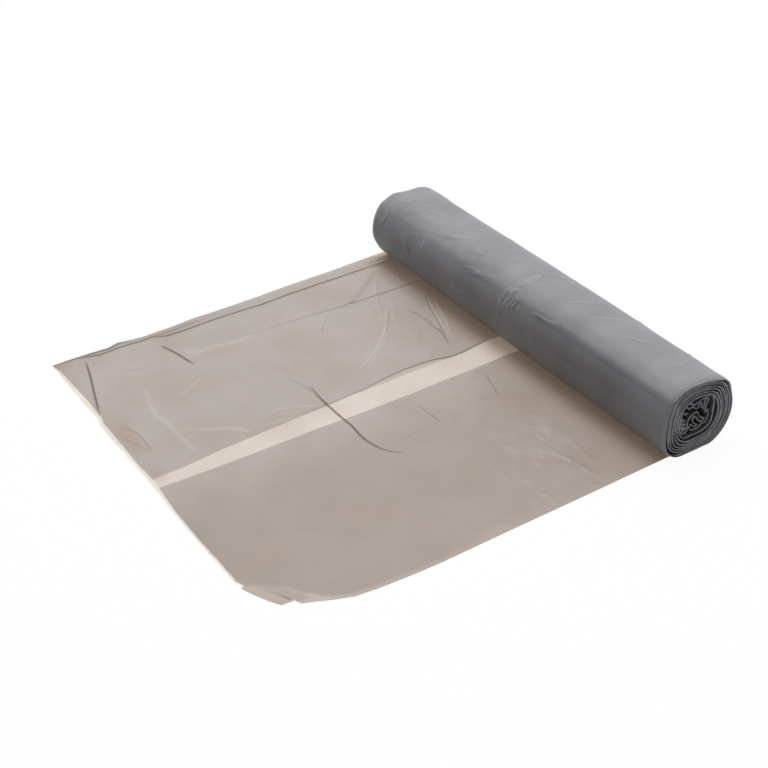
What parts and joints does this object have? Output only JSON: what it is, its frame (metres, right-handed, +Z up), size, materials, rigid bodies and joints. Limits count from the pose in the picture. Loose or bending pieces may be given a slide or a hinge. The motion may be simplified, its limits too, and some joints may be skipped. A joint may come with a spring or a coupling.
{
  "type": "bin bag roll",
  "caption": "Coreless roll of thin gusseted bin bags, its turns showing at the ends, with the next bag drawn off flat along one side.",
  "frame": {"origin": "middle of the whole part's footprint, on the surface that it lies on", "axes": "X along the roll, with the end that the picture shows at +X; the loose bag lies towards -Y; +Z up"},
  "size_m": [0.313, 0.3216, 0.053],
  "materials": {
    "bag_film": "thin crinkled grey polyethylene film with a soft gloss, dark where many turns lie together"
  },
  "bodies": {
    "root": {"bag_roll": "bag_film"}
  },
  "joints": []
}
